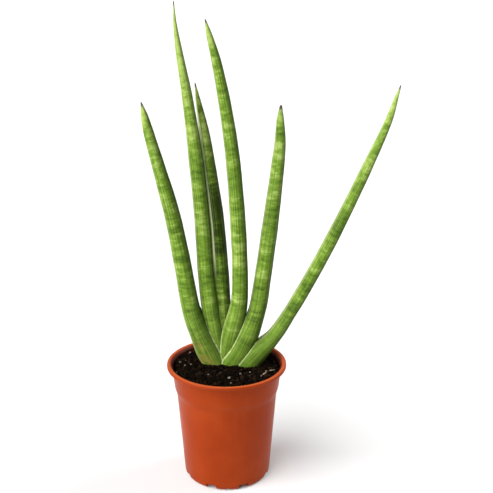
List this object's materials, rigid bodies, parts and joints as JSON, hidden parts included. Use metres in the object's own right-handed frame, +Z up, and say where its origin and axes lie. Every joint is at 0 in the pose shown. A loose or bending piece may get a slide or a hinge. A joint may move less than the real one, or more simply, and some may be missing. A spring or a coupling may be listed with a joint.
{
  "type": "potted snake plant",
  "caption": "Cylindrical snake plant with a fan of round tapering leaves, growing in soil in a tapered nursery pot with a rolled lip.",
  "frame": {"origin": "on the pot's axis, on the ground under the middle of its floor", "axes": "+Z up along the pot's axis, +X to the right along the fan of leaves, -Y to the plant's front"},
  "size_m": [0.2399, 0.12, 0.474],
  "materials": {
    "pot": "semi-gloss terracotta-coloured moulded plastic",
    "soil": "dark, coarse, slightly moist peat-based potting soil",
    "rhizome": "pale orange-brown underground stem and roots",
    "leaf": "waxy bright green skin with light and dark cross-bands and fine lengthwise grooves",
    "leaf_dark": "waxy dark green skin with paler cross-bands",
    "perlite": "matt white crumbly grain",
    "straw": "dry pale straw"
  },
  "bodies": {
    "root": {"pot": "pot", "soil": "soil", "rhizome": "rhizome", "leaf_right_outer": "leaf", "leaf_right_inner": "leaf", "leaf_middle": "leaf", "leaf_left_outer": "leaf", "leaf_left_tall": "leaf", "leaf_centre": "leaf_dark", "perlite_1": "perlite", "perlite_2": "perlite", "perlite_3": "perlite", "perlite_4": "perlite", "perlite_5": "perlite", "perlite_6": "perlite", "perlite_7": "perlite", "perlite_8": "perlite", "perlite_9": "perlite", "perlite_10": "perlite", "perlite_11": "perlite", "perlite_12": "perlite", "straw_1": "straw", "straw_2": "straw", "straw_3": "straw"}
  },
  "joints": []
}
